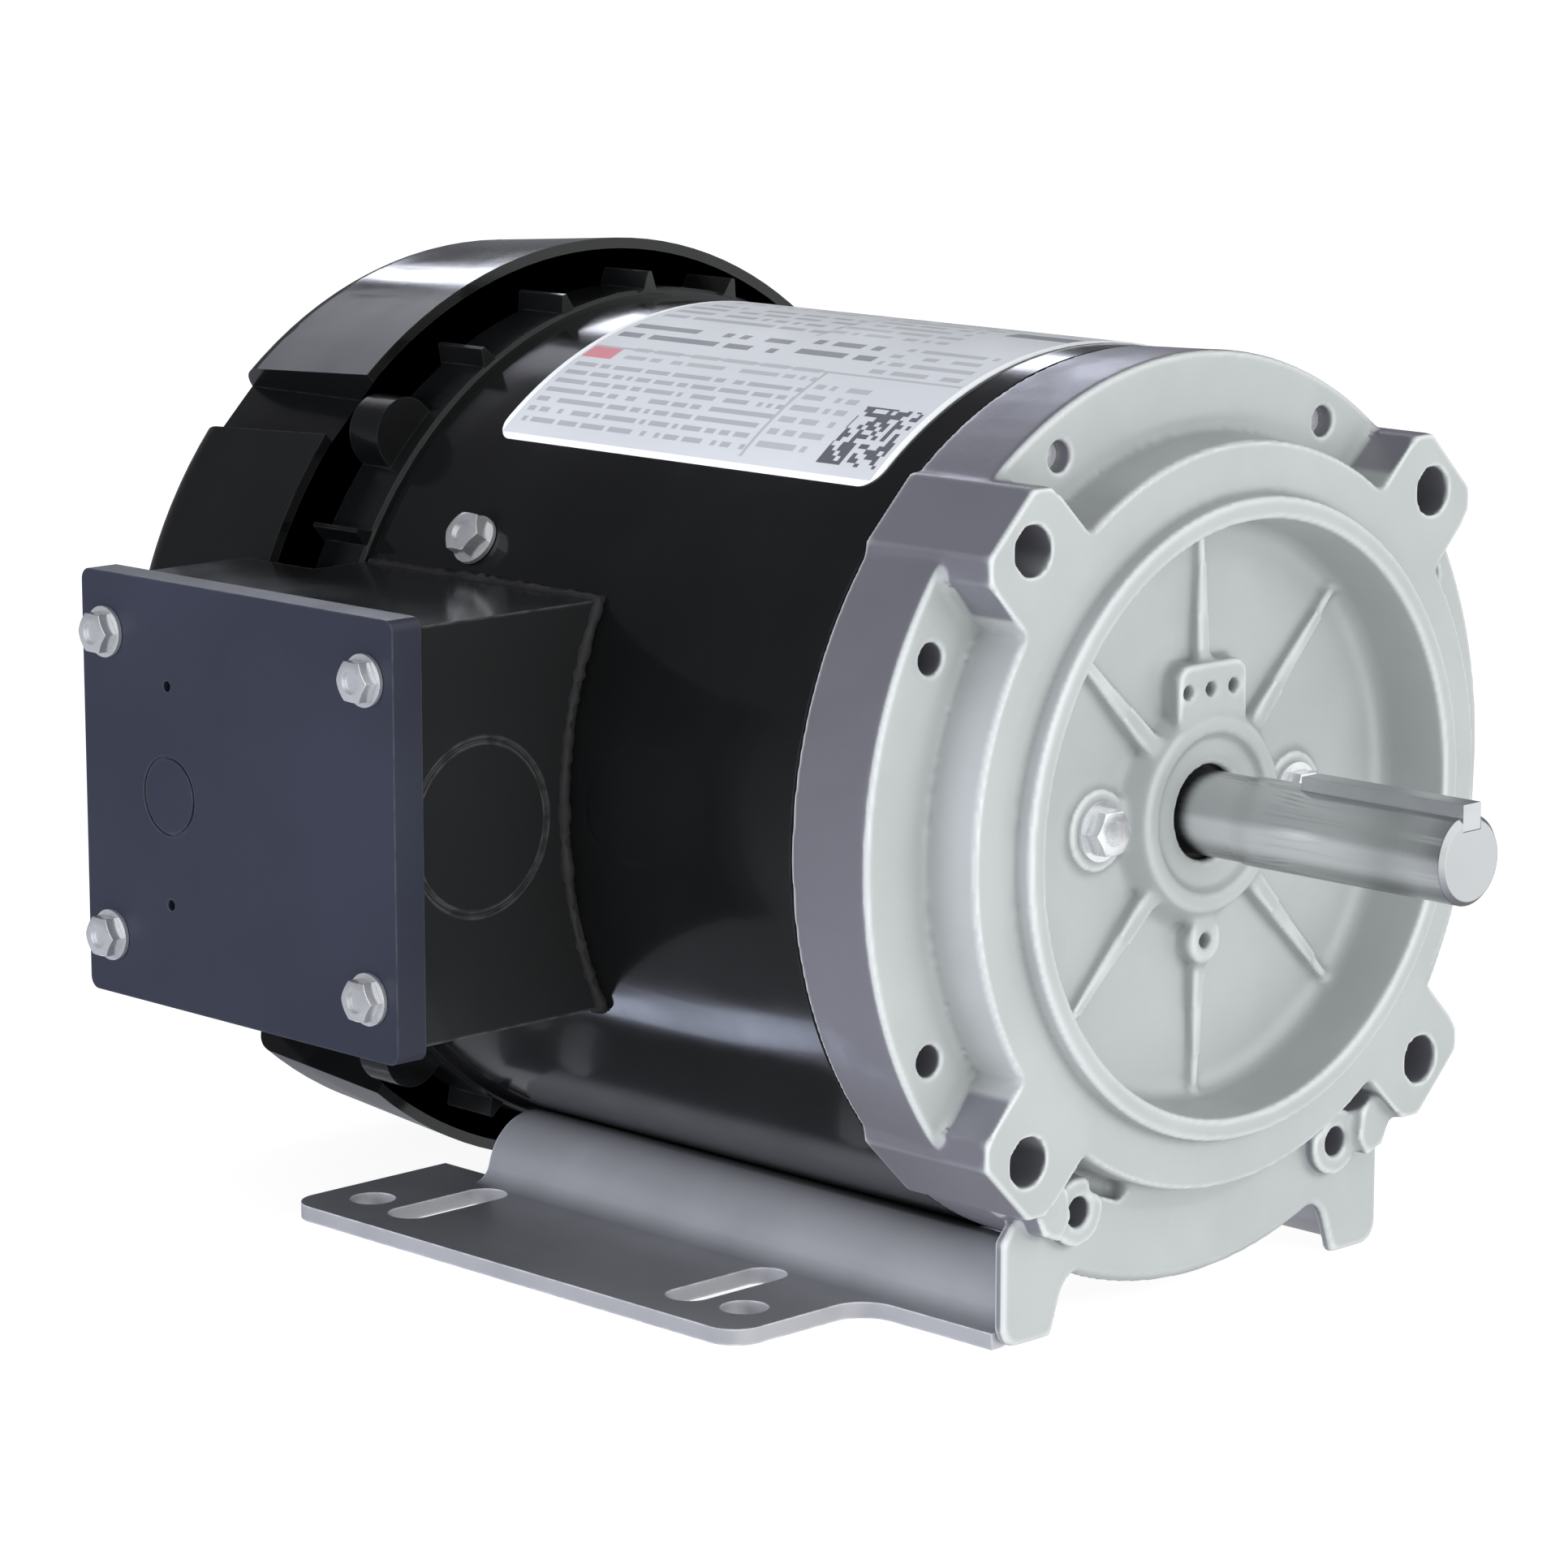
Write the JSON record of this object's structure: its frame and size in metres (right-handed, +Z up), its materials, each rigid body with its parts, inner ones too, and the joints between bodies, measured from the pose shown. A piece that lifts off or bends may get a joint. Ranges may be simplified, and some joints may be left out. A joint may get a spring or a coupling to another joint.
{
  "type": "electric motor",
  "caption": "Enclosed fan-cooled electric motor with a round flanged drive face, a keyed shaft, a slotted foot base and a side terminal box.",
  "frame": {"origin": "centre of the C-face, where the shaft axis meets the flat mounting face", "axes": "-Y out along the shaft at the drive end, +Z up, -X towards the terminal box"},
  "size_m": [0.2166, 0.2594, 0.1799],
  "materials": {
    "black_paint": "gloss",
    "black_casting": "gloss",
    "black_moulding": "gloss",
    "cast_aluminium": "fine cast, satin",
    "cap_aluminium": "as cast",
    "zinc_screws": "bright zinc plate",
    "fan_plastic": "moulded, satin",
    "spring_steel": "oiled",
    "ground_steel": "ground, satin",
    "key_steel": "drawn bar",
    "black_rubber": "matt",
    "lamination_steel": "stacked sheets",
    "cage_aluminium": "as cast",
    "copper_windings": "varnished",
    "bearing_steel": "polished",
    "cage_steel": "pressed",
    "base_steel": "plain coated sheet",
    "box_paint": "satin",
    "cover_paint": "satin",
    "board_resin": "moulded",
    "stud_brass": "plain",
    "wire_insulation": "extruded",
    "label_foil": "silver-white label"
  },
  "bodies": {
    "housing": {"frame_shell": "black_paint", "front_endshield": "cast_aluminium", "rear_endshield": "black_casting", "fan_cover": "black_moulding", "fan_cover_screws": "zinc_screws", "stator_core": "lamination_steel", "stator_windings": "copper_windings", "front_bearing_outer_race": "bearing_steel", "front_bearing_shields": "spring_steel", "rear_bearing_outer_race": "bearing_steel", "rear_bearing_shields": "spring_steel", "bearing_cap": "cap_aluminium", "bearing_cap_screws": "zinc_screws", "wave_spring": "spring_steel", "tie_bolts": "zinc_screws", "base": "base_steel", "base_screws": "zinc_screws", "terminal_box": "box_paint", "box_cover": "cover_paint", "box_cover_screws": "zinc_screws", "box_gasket": "black_rubber", "cover_gasket": "black_rubber", "box_screws": "zinc_screws", "frame_screw": "zinc_screws", "terminal_board": "board_resin", "terminal_studs": "stud_brass", "lead_wires": "wire_insulation", "lead_grommet": "black_rubber", "nameplate": "label_foil"},
    "rotor": {"shaft": "ground_steel", "shaft_key": "key_steel", "shaft_slinger": "black_rubber", "rotor_core": "lamination_steel", "rotor_cage": "cage_aluminium", "front_bearing_inner_race": "bearing_steel", "rear_bearing_inner_race": "bearing_steel", "cooling_fan": "fan_plastic", "fan_clip": "spring_steel"},
    "front_ball_set": {"front_bearing_balls": "bearing_steel", "front_bearing_cage": "cage_steel"},
    "rear_ball_set": {"rear_bearing_balls": "bearing_steel", "rear_bearing_cage": "cage_steel"}
  },
  "joints": [
    {"name": "rotor_spin", "type": "hinge", "parent": "housing", "child": "rotor", "pos_m": [0, 0, 0], "axis": [0, -1, 0], "continuous": true},
    {"name": "front_balls_orbit", "type": "hinge", "parent": "housing", "child": "front_ball_set", "pos_m": [0, 0.024, 0], "axis": [0, -1, 0], "continuous": true},
    {"name": "rear_balls_orbit", "type": "hinge", "parent": "housing", "child": "rear_ball_set", "pos_m": [0, 0.157, 0], "axis": [0, -1, 0], "continuous": true}
  ],
  "couplings": [
    {"joint": "front_balls_orbit", "follows": "rotor_spin", "ratio": 0.38246},
    {"joint": "rear_balls_orbit", "follows": "rotor_spin", "ratio": 0.38246}
  ]
}
